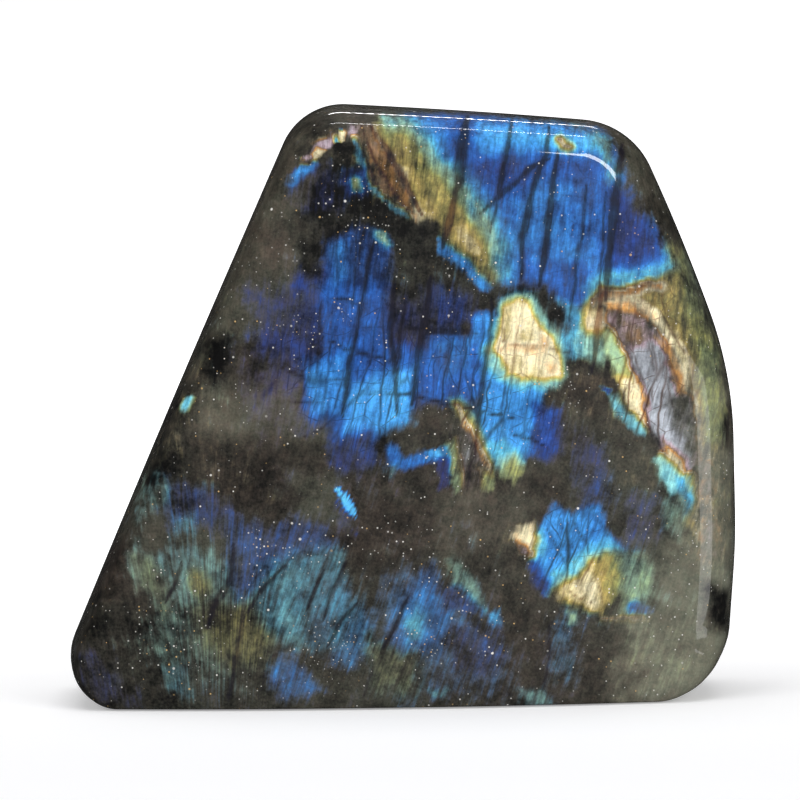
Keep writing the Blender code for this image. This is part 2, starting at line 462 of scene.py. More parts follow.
# The copper and olive band, and the sparks in the black beside it.
UPPER_LEFT_BAND = (
    ("rose fringe at the upper left", 0.72, 0.95, 3, 2, (
        (300, 157), (318, 141), (334, 131), (340, 139), (322, 151), (308, 162)
    )),
    ("cream by the fringe", 0.75, 0.8, 3, 3, ((309, 153), (318, 147), (325, 150), (315, 158))),
    ("violet beside it", 0.85, 0.96, 3, 2, ((345, 124), (360, 126), (358, 139), (346, 139))),
    ("cyan dot beside it", 0.9, 0.42, 1.5, 1, ((333, 134), (339, 133), (340, 142), (335, 142))),
    ("gold dot", 1.05, 0.79, 2.5, 2.5, ((337, 132), (344, 129), (348, 135), (341, 142))),
    ("azure at the upper left", 0.95, 0.33, 4, 5, (
        (288, 182), (295, 172), (312, 160), (319, 166), (314, 178), (300, 187), (291, 192)
    )),
    ("indigo below it", 0.29, 0.05, 9, 6, ((287, 192), (325, 165), (345, 180), (338, 210), (300, 218))),
    ("copper band", 0.45, 0.88, 7, 3, (
        (358, 126), (382, 126), (398, 152), (410, 172), (424, 195), (430, 216), (408, 218), (388, 196),
        (374, 170), (362, 146)
    )),
    ("cyan fringe of the band", 0.44, 0.42, 2.5, 1.5, (
        (350, 138), (356, 140), (364, 156), (368, 172), (382, 194), (398, 208), (412, 219), (402, 220),
        (384, 204), (366, 180), (358, 158)
    )),
    ("gold side of the band", 0.6, 0.73, 6, 3, (
        (392, 150), (404, 160), (420, 190), (432, 216), (422, 218), (408, 190)
    )),
    ("cream above the band", 0.72, 0.62, 8, 3, (
        (376, 122), (404, 124), (402, 142), (392, 150), (382, 138)
    )),
    ("cyan above it", 0.85, 0.45, 6, 3, ((386, 120), (416, 122), (410, 134), (392, 134))),
    ("green side of the band", 0.57, 0.53, 13, 4, (
        (402, 122), (424, 132), (446, 158), (470, 180), (492, 204), (510, 245), (510, 278), (498, 270),
        (470, 212), (440, 180), (415, 150)
    )),
    ("olive band", 0.56, 0.7, 10, 4, (
        (388, 136), (402, 132), (418, 150), (436, 168), (452, 186), (468, 205), (482, 226), (492, 252),
        (497, 276), (486, 278), (470, 262), (452, 250), (440, 228), (427, 204), (412, 172), (398, 148)
    )),
    ("gold in the band", 0.55, 0.76, 8, 4, ((460, 230), (474, 232), (484, 254), (476, 264), (464, 252))),
    ("blue foot of the band", 0.7, 0.3, 4, 4, (
        (440, 240), (450, 250), (472, 268), (494, 286), (488, 291), (462, 270), (442, 254)
    )),
    ("indigo ring in the black", 0.42, 0.1, 4, 2, ((345, 168), (366, 166), (370, 196), (346, 198))),
    ("olive eye in the ring", 0.55, 0.62, 3, 1.5, ((352, 175), (362, 174), (363, 190), (353, 191))),
)

# The blue across the middle, with the cream eye at its right end.
MIDDLE_BLUE = (
    ("blue finger", 0.46, 0.19, 7, 5, (
        (322, 242), (336, 228), (352, 224), (375, 226), (392, 243), (390, 270), (378, 300), (320, 300)
    )),
    ("bright left side of the finger", 0.62, 0.27, 7, 5, ((328, 244), (345, 236), (348, 290), (326, 295))),
    ("green fringe of the finger", 0.6, 0.56, 4, 2, (
        (374, 230), (386, 232), (392, 246), (384, 250), (376, 240)
    )),
    ("violet field", 0.5, 0.08, 12, 14, ((245, 290), (320, 270), (330, 350), (300, 360), (250, 360))),
    ("broad blue", 0.74, 0.2, 9, 6, (
        (322, 288), (385, 280), (392, 320), (395, 352), (392, 420), (375, 440), (372, 462), (330, 462),
        (326, 420), (300, 432), (290, 380), (322, 352)
    )),
    ("blue right of the cracks", 0.76, 0.2, 8, 6, (
        (396, 345), (425, 330), (470, 335), (488, 345), (486, 400), (440, 405), (398, 408)
    )),
    ("pale plate between the cracks", 0.74, 0.27, 7, 5, (
        (432, 340), (458, 332), (476, 338), (470, 372), (440, 380)
    )),
    ("blue above them", 0.5, 0.12, 10, 8, ((425, 290), (470, 296), (478, 325), (430, 330))),
    ("dim violet above the broad blue", 0.4, 0.05, 10, 8, ((390, 290), (430, 300), (428, 345), (395, 345))),
    ("azure heart", 0.95, 0.35, 9, 6, (
        (345, 388), (385, 372), (412, 372), (412, 420), (380, 440), (345, 432)
    )),
    ("paler blue left of the heart", 0.92, 0.31, 10, 8, (
        (302, 366), (345, 352), (350, 385), (340, 412), (308, 415), (298, 392)
    )),
    ("grey violet", 0.33, 0.05, 12, 12, ((240, 362), (300, 362), (310, 425), (260, 440), (238, 420))),
    ("azure by the eye", 0.92, 0.33, 7, 4, (
        (484, 352), (496, 372), (545, 382), (542, 402), (532, 452), (520, 462), (505, 470), (486, 452),
        (476, 430), (480, 400)
    )),
    ("violet right of it", 0.66, 0.12, 7, 6, ((536, 405), (560, 408), (566, 452), (548, 462), (534, 460))),
    ("cyan foot", 0.95, 0.44, 4, 5, ((488, 440), (510, 440), (520, 462), (496, 466))),
    ("blue corner left of the eye", 0.85, 0.28, 4, 3, (
        (474, 318), (494, 308), (500, 330), (488, 350), (474, 335)
    )),
    ("cyan border of the eye", 0.9, 0.515, 6, 2, (
        (486, 350), (492, 322), (500, 302), (512, 295), (533, 295), (545, 310), (562, 345), (566, 376),
        (555, 386), (520, 388), (496, 382), (484, 368)
    )),
    ("cream eye", 0.98, 0.785, 4, 3, (
        (494, 350), (500, 320), (505, 306), (513, 300), (530, 302), (541, 322), (557, 345), (562, 376),
        (538, 379), (508, 374)
    )),
    ("white of the eye", 1.02, 0.795, 9, 3, (
        (505, 345), (510, 320), (522, 310), (534, 330), (542, 366), (522, 368), (506, 362)
    )),
    ("peach side of the eye", 1.0, 0.835, 5, 2, (
        (536, 330), (546, 335), (558, 360), (559, 374), (545, 376), (538, 360)
    )),
    ("peach band across the eye", 1.0, 0.83, 3, 2, (
        (503, 341), (540, 344), (557, 353), (556, 358), (503, 351)
    )),
    ("dark between the streaks", 0.1, 0.4, 6, 4, ((548, 300), (566, 312), (568, 332), (556, 328))),
    ("olive edge of the azure", 0.55, 0.64, 4, 3, (
        (446, 396), (462, 396), (478, 424), (492, 458), (486, 460), (464, 424)
    )),
    ("gold of that edge", 0.6, 0.85, 2.5, 2, (
        (455, 402), (461, 403), (476, 436), (490, 462), (492, 474), (480, 456)
    )),
    ("rose side of that edge", 0.7, 0.88, 2.5, 1.5, (
        (462, 424), (468, 432), (482, 460), (488, 474), (474, 456)
    )),
    ("dim silver below the edge", 0.2, 0.97, 6, 8, (
        (452, 425), (470, 440), (488, 478), (470, 490), (455, 460)
    )),
    ("green foot of the edge", 0.6, 0.6, 4, 6, ((446, 440), (456, 440), (460, 492), (448, 485))),
    ("olive foot", 0.6, 0.64, 7, 5, ((498, 460), (518, 452), (524, 472), (514, 482), (498, 478))),
    ("green foot", 0.5, 0.62, 4, 5, ((480, 468), (494, 474), (496, 490), (484, 490))),
    ("azure band", 0.8, 0.26, 4, 4, (
        (384, 450), (392, 445), (402, 455), (415, 458), (425, 450), (445, 446), (448, 462), (420, 468),
        (396, 468), (384, 462)
    )),
    ("bright part of the band", 0.95, 0.38, 3, 3, ((425, 450), (440, 447), (444, 458), (428, 460))),
    ("indigo drop", 0.6, 0.04, 3, 3, ((440, 462), (448, 460), (450, 490), (440, 490))),
    ("teal left of the band", 0.35, 0.47, 5, 6, ((378, 462), (396, 465), (392, 478), (378, 474))),
    ("dim blue left of the band", 0.45, 0.12, 9, 8, (
        (330, 440), (372, 430), (380, 462), (345, 480), (330, 465)
    )),
)

# The dusty blues and greens of the lower half.
DUSTY_FOOT = (
    ("dusty teal of the left foot", 0.27, 0.52, 18, 14, (
        (150, 600), (210, 600), (232, 640), (240, 690), (170, 680), (135, 640)
    )),
    ("dusty blue in the middle of the foot", 0.27, 0.34, 16, 14, (
        (375, 570), (410, 560), (500, 630), (520, 700), (400, 706), (368, 640)
    )),
    ("cyan spot at the left", 1.0, 0.46, 2, 3, (
        (182, 398), (190, 393), (194, 400), (188, 412), (182, 410)
    )),
    ("green haze beside it", 0.22, 0.55, 5, 6, ((205, 385), (225, 380), (228, 402), (215, 402))),
    ("blue at the left foot", 0.36, 0.16, 10, 8, (
        (168, 478), (205, 490), (240, 512), (248, 540), (205, 530), (170, 528), (150, 505)
    )),
    ("teal at the far left", 0.28, 0.5, 8, 6, (
        (140, 470), (165, 472), (168, 500), (152, 520), (138, 560), (124, 570)
    )),
    ("teal patch by it", 0.36, 0.44, 7, 5, ((172, 516), (194, 512), (196, 536), (176, 536))),
    ("left teal field", 0.36, 0.49, 11, 8, (
        (182, 535), (215, 548), (238, 565), (240, 602), (200, 604), (150, 600), (130, 575), (140, 550)
    )),
    ("middle left blue", 0.43, 0.22, 10, 8, (
        (228, 515), (270, 525), (300, 518), (325, 525), (335, 545), (295, 560), (262, 590), (235, 600),
        (228, 550)
    )),
    ("teal field", 0.42, 0.44, 11, 8, (
        (262, 565), (300, 548), (342, 548), (345, 580), (332, 640), (300, 655), (262, 636), (245, 605),
        (258, 590)
    )),
    ("green left of the field", 0.32, 0.58, 7, 6, (
        (130, 556), (150, 552), (168, 590), (165, 612), (142, 590)
    )),
    ("yellow green spot", 0.4, 0.68, 6, 4, ((190, 572), (202, 572), (212, 592), (204, 600), (192, 588))),
    ("olive foot at the left", 0.3, 0.66, 9, 8, (
        (196, 610), (245, 605), (275, 640), (270, 668), (235, 670), (205, 640)
    )),
    ("blue foot at the left", 0.42, 0.28, 7, 8, (
        (270, 664), (300, 655), (318, 680), (330, 695), (280, 704), (264, 690)
    )),
    ("blue streak at the foot", 0.42, 0.34, 8, 8, (
        (335, 625), (362, 612), (370, 645), (350, 670), (325, 665)
    )),
    ("low teal", 0.42, 0.4, 9, 8, (
        (340, 575), (356, 592), (362, 620), (345, 640), (318, 655), (305, 640), (325, 600)
    )),
    ("cyan feather", 1.5, 0.42, 1.3, 0, (
        (332, 486), (336, 487), (347, 502), (355, 517), (352, 519), (342, 506)
    )),
    ("cyan feather's second blade", 1.3, 0.39, 1.2, 0, (
        (343, 492), (347, 493), (356, 508), (358, 519), (352, 511)
    )),
    ("violet hair by the feather", 0.8, 0.12, 1.2, 0, (
        (333, 500), (335, 499), (349, 521), (356, 535), (353, 535)
    )),
    ("violet below the feather", 0.32, 0.06, 5, 4, ((330, 505), (345, 510), (356, 536), (346, 540))),
    ("lower middle blue", 0.56, 0.28, 9, 6, (
        (392, 640), (400, 606), (418, 572), (428, 562), (440, 590), (450, 622), (438, 652), (410, 658)
    )),
    ("its pale middle", 0.55, 0.43, 8, 5, ((404, 622), (416, 604), (428, 615), (424, 640), (408, 646))),
    ("green slope", 0.46, 0.53, 6, 5, (
        (446, 560), (458, 556), (478, 585), (486, 612), (470, 606), (450, 590)
    )),
    ("blue under the slope", 0.4, 0.2, 6, 8, ((440, 585), (460, 590), (480, 612), (450, 610))),
    ("small blue right of the slope", 0.6, 0.38, 4, 5, ((488, 612), (502, 608), (503, 624), (494, 630))),
    ("dim blue under it", 0.36, 0.2, 8, 7, ((452, 632), (500, 630), (505, 655), (478, 684), (460, 668))),
    ("teal crescent", 0.5, 0.48, 4, 2, (
        (428, 688), (436, 692), (446, 684), (450, 688), (442, 698), (432, 696)
    )),
    ("low olive haze", 0.25, 0.62, 9, 10, ((370, 640), (420, 660), (415, 690), (370, 690))),
    ("navy at the lower left", 0.28, 0.07, 9, 8, (
        (74, 652), (98, 645), (130, 690), (150, 706), (100, 708), (78, 690)
    )),
    ("teal glint at the foot", 0.32, 0.47, 7, 6, (
        (162, 668), (185, 668), (200, 700), (186, 708), (168, 690)
    )),
    # A painted highlight: a faint rose flash down the right edge that stands in for the soft pinkish
    # highlight of the polish there.
    ("painted rose highlight at the right", 0.34, 0.95, 14, 10, ((692, 462), (722, 450), (724, 560), (700, 570))),
    ("green haze at the lower right", 0.18, 0.58, 18, 12, (
        (610, 620), (700, 600), (712, 660), (680, 700), (620, 700)
    )),
)

# The azure and gold at the lower right, and what is near it.
LOWER_RIGHT_GEM = (
    ("lower right azure", 0.86, 0.3, 6, 4, (
        (545, 518), (557, 499), (570, 512), (587, 499), (602, 506), (606, 533), (620, 543), (603, 549),
        (587, 556), (572, 572), (555, 582), (549, 594), (530, 565), (538, 540)
    )),
    ("cyan beside the gold", 0.9, 0.43, 6, 3, (
        (606, 534), (624, 545), (610, 552), (588, 556), (576, 572), (556, 584), (549, 578), (570, 556),
        (588, 544)
    )),
    ("pale left border of the azure", 0.8, 0.42, 4, 3, (
        (535, 536), (543, 530), (548, 548), (546, 566), (536, 556)
    )),
    ("royal blue under it", 0.62, 0.12, 5, 3, ((528, 560), (538, 568), (550, 588), (546, 597), (532, 582))),
    ("cream and rose tip", 0.9, 0.81, 4, 3, (
        (513, 538), (520, 527), (533, 522), (538, 540), (533, 556), (523, 548)
    )),
    ("silver of the tip", 0.6, 0.97, 4, 2, ((518, 543), (526, 546), (534, 560), (526, 560))),
    ("lower right gold", 0.8, 0.75, 8, 5, (
        (587, 560), (606, 553), (620, 556), (622, 573), (613, 597), (600, 610), (583, 604), (554, 593),
        (560, 583), (577, 575)
    )),
    ("brown of the gold", 0.66, 0.79, 6, 4, ((576, 580), (592, 572), (600, 590), (602, 610), (586, 604))),
    ("grey blue right of the gold", 0.54, 0.56, 12, 8, (
        (620, 548), (648, 556), (660, 600), (625, 616), (616, 590)
    )),
    ("blue line below it", 0.52, 0.27, 3, 3, ((626, 605), (656, 605), (656, 613), (630, 614))),
    ("orange line under that", 0.36, 0.86, 2, 2.5, (
        (600, 616), (628, 614), (655, 616), (655, 621), (628, 620), (600, 621)
    )),
    ("teal under the gold", 0.34, 0.38, 13, 8, (
        (546, 618), (574, 614), (580, 640), (572, 676), (546, 682), (550, 650)
    )),
    ("cyan and gold sparks", 0.5, 0.55, 3, 3, ((568, 612), (580, 612), (580, 622), (571, 624))),
    ("low teal at the foot", 0.4, 0.48, 6, 6, ((520, 690), (545, 690), (555, 706), (515, 706))),
    ("dim blue above the azure", 0.44, 0.17, 8, 9, (
        (572, 440), (605, 445), (612, 500), (580, 505), (572, 480)
    )),
    ("grey violet right of the azure", 0.34, 0.1, 9, 9, ((620, 490), (655, 500), (655, 545), (620, 540))),
    ("dim violet in the dark", 0.36, 0.1, 7, 9, ((568, 425), (592, 430), (600, 470), (575, 470))),
    ("violet dot", 0.7, 0.12, 2, 2, ((602, 388), (610, 390), (608, 395), (602, 394))),
)

FLASHES = (
    *UPPER_BLUE, *RIGHT_BLADES, *UPPER_LEFT_BAND, *MIDDLE_BLUE, *DUSTY_FOOT, *LOWER_RIGHT_GEM,
)

# Where the stone's own body is darker or lighter: what it is, tone from 0 black to 1 grey, warmth from 0
# green to 1 brown, softness in px, corners in px.
BODIES = (
    ("lower right", 0.8, 0.35, 30, (
        (620, 640), (655, 560), (690, 520), (700, 380), (740, 380), (740, 720), (625, 720)
    )),
    ("upper left edge", 0.42, 0.55, 14, ((215, 250), (300, 120), (302, 250), (290, 320), (215, 345))),
    ("warm spot at the left edge", 0.5, 0.9, 12, ((255, 230), (290, 235), (295, 270), (262, 262))),
    ("grey left of the blue", 0.62, 0.6, 18, ((215, 385), (300, 375), (320, 430), (240, 445), (205, 430))),
    ("middle brown", 0.31, 0.85, 18, (
        (190, 440), (330, 450), (560, 480), (560, 560), (380, 570), (240, 510), (190, 480)
    )),
    ("darkest brown", 0.22, 0.8, 12, (
        (215, 455), (270, 450), (300, 480), (290, 520), (250, 500), (220, 480)
    )),
    ("grey under it", 0.42, 0.35, 10, ((290, 470), (340, 475), (350, 530), (300, 520))),
    ("black at the upper left", 0.02, 0.5, 7, (
        (330, 140), (360, 145), (372, 178), (395, 205), (405, 225), (330, 228), (300, 225), (310, 195),
        (330, 165)
    )),
    ("black ridge", 0.14, 0.4, 9, (
        (300, 210), (400, 215), (440, 235), (490, 285), (545, 285), (580, 320), (560, 330), (500, 300),
        (440, 280), (395, 290), (388, 235), (310, 235)
    )),
    ("dark between the blues", 0.1, 0.4, 8, ((295, 240), (322, 235), (318, 280), (300, 290))),
    ("dark under the finger", 0.08, 0.4, 9, ((318, 245), (350, 225), (392, 232), (392, 292), (322, 298))),
    ("black spot at the left", 0.0, 0.5, 10, ((205, 345), (235, 335), (232, 365), (215, 385), (203, 375))),
    ("dark left edge", 0.14, 0.6, 9, ((150, 440), (185, 440), (185, 465), (160, 485), (140, 490))),
    ("brown at the left foot", 0.26, 1.0, 12, ((95, 540), (125, 540), (128, 600), (85, 600))),
    ("dark lower left", 0.2, 0.6, 16, (
        (80, 610), (190, 605), (195, 660), (180, 712), (60, 712), (65, 650)
    )),
    ("grey foot", 0.34, 0.5, 16, ((190, 640), (440, 650), (440, 720), (190, 720))),
    ("dark middle foot", 0.33, 0.7, 16, (
        (360, 565), (440, 545), (520, 560), (545, 605), (600, 625), (600, 712), (430, 712), (440, 640),
        (400, 590), (372, 600)
    )),
    ("grey brown above the azure", 0.5, 0.6, 14, (
        (440, 500), (520, 485), (540, 500), (505, 540), (440, 560)
    )),
    ("brown right of the eye", 0.3, 0.9, 9, ((545, 372), (612, 372), (622, 400), (600, 425), (552, 400))),
    ("grey brown below it", 0.4, 0.55, 12, (
        (590, 395), (640, 410), (670, 470), (660, 540), (620, 520), (600, 440)
    )),
    ("black at the right edge", 0.0, 0.7, 9, ((708, 585), (728, 590), (728, 628), (712, 628))),
    ("dark rim at the right", 0.2, 0.7, 6, ((718, 420), (732, 400), (732, 450), (722, 440))),
)

# Wide cracks: strength, width in px, and the places that each runs through, in px.
CRACKS = (
    (1.0, 9, ((468, 118), (462, 150), (457, 190))), (0.95, 8, ((457, 185), (451, 215), (444, 248))),
    (0.8, 6, ((513, 116), (507, 150), (501, 180), (497, 200))),
    (0.6, 4, ((499, 190), (494, 215), (490, 235))),
    (0.85, 6, ((549, 126), (546, 150), (536, 180), (528, 205), (522, 235), (521, 280))),
    (0.7, 5, ((538, 165), (533, 190), (527, 230))),
    (0.95, 7, ((558, 150), (553, 185), (548, 225), (543, 262), (540, 286))),
    (0.75, 6, ((548, 158), (530, 168), (512, 184), (494, 200), (480, 214))),
    (0.6, 5, ((586, 185), (584, 220), (577, 260), (569, 322))),
    (0.6, 5, ((606, 190), (603, 225), (600, 290))),
    (1.0, 8, ((623, 145), (617, 185), (612, 225), (608, 262), (606, 300))),
    (0.9, 6, ((602, 285), (599, 320), (595, 350), (592, 372))), (0.4, 2, ((560, 196), (583, 196))),
    (0.6, 3, ((362, 150), (372, 172), (380, 190))),
    (0.7, 3.5, ((360, 124), (368, 145), (379, 168), (394, 192), (408, 214))),
    (0.95, 5.5, ((370, 126), (387, 150), (401, 175), (412, 198), (421, 214))),
    (0.4, 2, ((600, 250), (596, 290), (588, 330))),
    (0.6, 4, ((357, 228), (356, 255), (353, 290), (352, 310))),
    (0.7, 5, ((374, 240), (367, 268), (362, 305), (353, 347))),
    (0.85, 6, ((356, 335), (350, 360), (347, 382), (343, 416))),
    (0.55, 4, ((321, 300), (320, 335), (317, 375), (315, 410))),
    (0.8, 6, ((394, 282), (390, 330), (394, 365), (397, 415))),
    (0.7, 5, ((405, 300), (399, 345), (395, 390))),
    (0.85, 8, ((432, 278), (424, 328), (418, 360), (412, 405))),
    (0.5, 5, ((450, 328), (449, 350), (447, 375))), (0.65, 4, ((330, 297), (360, 303))),
    (0.7, 4, ((323, 337), (347, 350), (390, 360))), (0.7, 4, ((360, 393), (413, 395))),
    (0.55, 4, ((280, 400), (330, 404))), (0.85, 5, ((398, 326), (427, 331), (480, 332))),
    (0.6, 3, ((384, 300), (392, 318), (400, 322), (412, 318))),
    (0.6, 3, ((470, 330), (466, 350), (460, 380), (454, 410))),
    (0.8, 6, ((492, 300), (490, 340), (482, 380), (478, 430), (474, 460))),
    (0.6, 2.5, ((502, 312), (506, 345), (506, 370), (500, 420), (494, 450))),
    (0.55, 2.5, ((524, 296), (518, 330), (512, 372), (508, 420))),
    (0.45, 2, ((536, 318), (528, 345), (522, 372))), (0.45, 2, ((548, 330), (544, 352), (540, 375))),
    (0.5, 2.5, ((530, 385), (525, 420), (526, 460))), (0.5, 3, ((450, 430), (452, 460), (450, 490))),
    (0.55, 3, ((472, 440), (470, 470), (468, 495))), (0.5, 2, ((592, 300), (588, 330), (584, 352))),
    (0.6, 3, ((590, 505), (586, 540), (588, 560))), (0.4, 2, ((574, 515), (578, 540), (582, 560))),
    (0.5, 4.5, ((382, 378), (358, 396), (341, 412), (322, 428), (300, 438))),
    (0.6, 4, ((278, 366), (307, 378), (347, 380))),
    (0.5, 3, ((242, 600), (262, 568), (290, 558), (335, 550))),
    (0.45, 4, ((300, 640), (268, 660), (258, 700))), (0.6, 5, ((245, 605), (240, 640), (228, 700))),
    (0.5, 3, ((375, 640), (372, 670), (362, 700))), (0.55, 4, ((550, 625), (548, 660), (540, 700))),
    (0.6, 3, ((645, 405), (650, 430), (665, 455))),
    (0.55, 4, ((490, 336), (520, 346), (545, 346), (575, 355))),
    (0.75, 4, ((402, 394), (440, 402), (480, 410), (500, 414), (516, 420))),
    (0.4, 2.5, ((420, 328), (450, 328), (488, 336))), (0.65, 4, ((512, 434), (530, 438), (545, 446))),
    (0.5, 3, ((290, 350), (270, 345), (255, 350))),
    (0.6, 5, ((592, 300), (608, 289), (635, 286), (662, 283))),
    (0.5, 3, ((633, 296), (644, 308), (656, 322))), (0.45, 3, ((638, 299), (650, 295), (664, 300))),
    (0.5, 3.5, ((669, 286), (661, 300), (666, 316))), (0.45, 3, ((604, 300), (620, 297), (634, 299))),
    (0.55, 3.5, ((660, 312), (672, 332), (684, 354))), (0.5, 3.5, ((648, 338), (653, 358), (657, 382))),
    (0.5, 3.5, ((634, 350), (640, 372), (648, 396))), (0.5, 3, ((664, 372), (670, 392), (674, 410))),
    (0.45, 3, ((660, 345), (674, 372), (684, 402))), (0.4, 3, ((606, 392), (622, 398), (640, 414))),
    (0.75, 4.5, ((325, 567), (315, 587), (307, 610))), (0.8, 5, ((357, 603), (340, 623), (327, 647))),
    (0.5, 3.5, ((300, 550), (320, 553), (333, 540))), (0.8, 5, ((408, 597), (397, 623), (383, 647))),
    (0.75, 5, ((182, 560), (176, 580), (166, 602))), (0.4, 3, ((191, 550), (188, 566), (183, 583))),
    (0.8, 5, ((234, 543), (231, 573), (222, 600))), (0.8, 5, ((288, 563), (265, 587), (248, 613))),
    (0.45, 3, ((297, 550), (280, 570))), (0.75, 5, ((222, 588), (207, 627))),
    (0.65, 4.5, ((346, 560), (332, 590), (324, 620))), (0.45, 3, ((560, 506), (572, 530), (580, 556))),
    (0.45, 3, ((601, 514), (586, 544), (572, 566))), (0.5, 2.5, ((590, 562), (598, 582), (603, 606))),
    (0.4, 2.5, ((575, 575), (584, 592), (590, 606))), (0.4, 2.5, ((604, 556), (611, 575), (613, 595))),
    (0.4, 3, ((636, 560), (640, 585), (643, 610))), (0.6, 4.5, ((547, 528), (556, 548), (567, 568))),
    (0.55, 4, ((556, 514), (566, 536), (576, 556))), (0.6, 4.5, ((568, 508), (578, 530), (588, 548))),
    (0.5, 4, ((588, 504), (598, 520), (608, 536))), (0.55, 4, ((578, 506), (570, 530), (556, 558))),
    (0.6, 2.5, ((568, 588), (578, 596), (592, 602))),
)

# The ellipses where fine veins are strongest: middles and reaches in px.
VEINED = ((400, 385, 150, 75), (574, 538, 46, 44), (650, 370, 48, 84))

# Where small pale specks crowd: how thickly from 0 to 1, and the middle and the reach of each crowd in px.
SPECKS = (
    (1.0, 345, 308, 16), (0.9, 302, 325, 26), (0.8, 275, 330, 18), (0.55, 365, 205, 50),
    (0.5, 470, 275, 45), (0.6, 560, 390, 34), (0.9, 330, 655, 45), (0.8, 425, 640, 28),
    (0.5, 275, 545, 50), (0.35, 400, 560, 60), (0.5, 640, 515, 22), (0.6, 632, 325, 20),
    (0.5, 180, 620, 60), (0.4, 690, 570, 40), (0.4, 460, 440, 40), (0.5, 200, 660, 40),
    (0.45, 480, 640, 40), (0.4, 660, 640, 40),
)

# The lean of the stone's lamellae, as mm sideways for each mm of height: steep above, more slanted below.
UPPER_LEAN, LOWER_LEAN = 0.12, 0.36
LEAN_TURNS_AT, LEAN_TURN = 47.0, 7.0  # mm of height where the lean changes, and over how many mm it does
LEFT_SHARE, LEFT_LEAN_ENDS = -1.2, (-38.0, -20.0)  # how it turns over at the left, and between which x in mm


def lamellae(x, z):
    """Two measures of a place in mm: across the lamellae and along them.

    Across is x less the lean's sum up to z, which is a straight line plus a softened kink, and along is z.
    The kink's lean turns over towards the left edge.
    """
    kink = LEAN_TURN * np.logaddexp(0, (LEAN_TURNS_AT - z) / LEAN_TURN)
    side = LEFT_SHARE + (1 - LEFT_SHARE) * eased(x, *LEFT_LEAN_ENDS)
    return x - UPPER_LEAN * (z - LEAN_TURNS_AT) + (LOWER_LEAN - UPPER_LEAN) * kink * side, z


# How the zones are frayed: by clouds of two sizes, each as its size and how far it moves a place, in px, and
# by feathers drawn out along the lamellae: their size across and along in mm, and their share.
WIDE_SIZE, WIDE_WANDER = 26, 10
FINE_SIZE, FINE_WANDER = 7, 5
FEATHER_ACROSS, FEATHER_ALONG, FEATHER_SHARE = 1.5, 9, 1.6

FAINTEST_FLASH = 0.10  # how strongly the stone flashes at most where no zone is
CRACK_WANDER = 0.4  # how much of the zones' wander the wide cracks take
CRACK_SWELL = (0.7, 1.5, 14)  # a crack's least swell, how much clouds add to it, and their size in px
VEINED_ELSEWHERE, SPECKLED_ELSEWHERE = 0.4, 0.14
SEEN_TO, BACK_FROM = -9.0, 2.0  # mm of depth between which the front's zones give way to the back's clouds


def wandered(px, py):
    """Places in px moved by the two sizes of cloud, and how much the x of each cloud is off its middle."""
    wide = cloud(px / WIDE_SIZE, py / WIDE_SIZE, 11) - 0.5
    fine = cloud(px / FINE_SIZE, py / FINE_SIZE, 21) - 0.5
    px = px + WIDE_WANDER * wide + FINE_WANDER * fine
    wide_up = cloud(px / WIDE_SIZE, py / WIDE_SIZE, 15) - 0.5
    fine_up = cloud(px / FINE_SIZE, py / FINE_SIZE, 25) - 0.5
    return px, py + WIDE_WANDER * wide_up + FINE_WANDER * fine_up, wide, fine


def flashing(px, py, shift):
    """How strongly each place flashes and in which colour of the order: faint clouds under the zones.

    A zone's share is its inside distance, moved by the shift times its raggedness, eased over its softness.
    Flash and flash times order are mixed by that share, and order is their quotient.
    """
    flash = FAINTEST_FLASH * eased(cloud(px / 60, py / 60, 41), 0.35, 0.75)
    colour = flash * (0.15 + 0.6 * eased(cloud(px / 80, py / 80, 45), 0.3, 0.7))
    for _, strength, order, soft, ragged, corners in FLASHES:
        reach = 2 * soft + ragged
        left, upper = np.min(corners, axis=0) - reach
        right, lower = np.max(corners, axis=0) + reach
        near = (px > left) & (px < right) & (py > upper) & (py < lower)
        depth = inside(px[near], py[near], corners) + ragged * shift[near]
        share = eased(depth, -1.3 * soft, 1.3 * soft)
        flash[near] += (strength - flash[near]) * share
        colour[near] += (strength * order - colour[near]) * share
    return flash, colour / np.maximum(flash, 1e-4)


def toned(px, py, shift):
    """How light and how warm the stone's own body is: slow clouds, with its zones eased in over them."""
    tone = 0.30 + 0.5 * (cloud(px / 45, py / 45, 51) - 0.5)
    warmth = 0.55 + 0.9 * (cloud(px / 70, py / 70, 61) - 0.5)
    for _, zone_tone, zone_warmth, soft, corners in BODIES:
        share = eased(inside(px, py, corners) + 0.8 * soft * shift, -soft, soft)
        tone += (zone_tone - tone) * share
        warmth += (zone_warmth - warmth) * share
    return tone, warmth


def cracked(x, y, swell):
    """How deep each place is in a wide crack: a halo and a narrower core, eased by the distance to its line.

    A crack's breadth is its width times the swell times the root of a sine that nears 0 at both of its ends.
    """
    crack = np.zeros(x.shape)
    for strength, width, line in CRACKS:
        away, share = beside(x, y, line)
        breadth = width * swell * np.sqrt(np.sin(math.pi * (0.04 + 0.92 * share)))
        halo = 1 - eased(away, 0.15 * breadth, 1.15 * breadth)
        core = 1 - eased(away, 0.0, 0.5 * breadth)
        crack = np.maximum(crack, strength * (0.55 * halo + 0.45 * core))
    return crack


def veined(px, py):
    """How strong the fine veins are: full in the middle of the ellipses, easing off around them."""
    strength = np.full(px.shape, VEINED_ELSEWHERE)
    for middle_x, middle_y, reach_x, reach_y in VEINED:
        away = np.hypot((px - middle_x) / reach_x, (py - middle_y) / reach_y)
        here = VEINED_ELSEWHERE + (1 - VEINED_ELSEWHERE) * (1 - eased(away, 0.6, 1.4))
        strength = np.maximum(strength, here)
    return strength


def speckled(px, py, shift):
    """How thickly the specks lie: full in the inner half of each crowd, easing off to its ragged reach."""
    density = np.full(px.shape, SPECKLED_ELSEWHERE)
    for thickest, middle_x, middle_y, reach in SPECKS:
        away = np.hypot(px - middle_x, py - middle_y) + reach * shift
        density = np.maximum(density, thickest * (1 - eased(away, 0.5 * reach, reach)))
    return density


